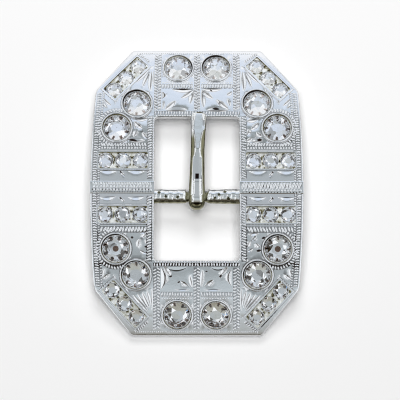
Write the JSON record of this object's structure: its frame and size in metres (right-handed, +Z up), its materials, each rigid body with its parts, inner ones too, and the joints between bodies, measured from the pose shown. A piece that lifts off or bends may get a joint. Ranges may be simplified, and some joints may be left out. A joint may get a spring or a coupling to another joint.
{
  "type": "western headstall buckle",
  "caption": "Arched octagonal cast strap buckle with a centre bar, a hinged tongue, engraved panels and clear crystals in round bezels and long trays.",
  "frame": {"origin": "middle of the buckle's outline, on the table that its two end feet rest on", "axes": "+Z up, out of the engraved face; +Y along the strap, from the bar towards the rail that the tongue's tip rests on; +X along the centre bar, to the right seen from the front"},
  "size_m": [0.0502, 0.0688, 0.0105],
  "materials": {
    "cast_silver": "bright silver plate over a cast body, engraved by hand: polished panels, bright leaf cuts, fine zig-zag and beaded borders",
    "polished_silver": "polished silver plate, slightly warm, with soft file marks",
    "crystal": "clear cut glass with a silver foil back",
    "setting_glue": "clear, slightly yellowed adhesive round the small crystals"
  },
  "bodies": {
    "buckle_frame": {"frame": "cast_silver", "large_crystal_ul_end": "crystal", "large_crystal_ul_inner": "crystal", "large_crystal_ul_outer": "crystal", "large_crystal_ur_end": "crystal", "large_crystal_ur_inner": "crystal", "large_crystal_ur_outer": "crystal", "large_crystal_ll_end": "crystal", "large_crystal_ll_inner": "crystal", "large_crystal_ll_outer": "crystal", "large_crystal_lr_end": "crystal", "large_crystal_lr_inner": "crystal", "large_crystal_lr_outer": "crystal", "small_crystal_ul_corner_1": "crystal", "small_crystal_ul_corner_2": "crystal", "small_crystal_ul_corner_3": "crystal", "small_crystal_ul_side_1": "crystal", "small_crystal_ul_side_2": "crystal", "small_crystal_ul_side_3": "crystal", "small_crystal_ur_corner_1": "crystal", "small_crystal_ur_corner_2": "crystal", "small_crystal_ur_corner_3": "crystal", "small_crystal_ur_side_1": "crystal", "small_crystal_ur_side_2": "crystal", "small_crystal_ur_side_3": "crystal", "small_crystal_ll_corner_1": "crystal", "small_crystal_ll_corner_2": "crystal", "small_crystal_ll_corner_3": "crystal", "small_crystal_ll_side_1": "crystal", "small_crystal_ll_side_2": "crystal", "small_crystal_ll_side_3": "crystal", "small_crystal_lr_corner_1": "crystal", "small_crystal_lr_corner_2": "crystal", "small_crystal_lr_corner_3": "crystal", "small_crystal_lr_side_1": "crystal", "small_crystal_lr_side_2": "crystal", "small_crystal_lr_side_3": "crystal"},
    "buckle_tongue": {"tongue": "polished_silver"}
  },
  "joints": [
    {"name": "tongue_hinge", "type": "hinge", "parent": "buckle_frame", "child": "buckle_tongue", "pos_m": [0, -0.0018, 0.00717], "axis": [1, 0, 0], "range_deg": [0, 168]}
  ]
}
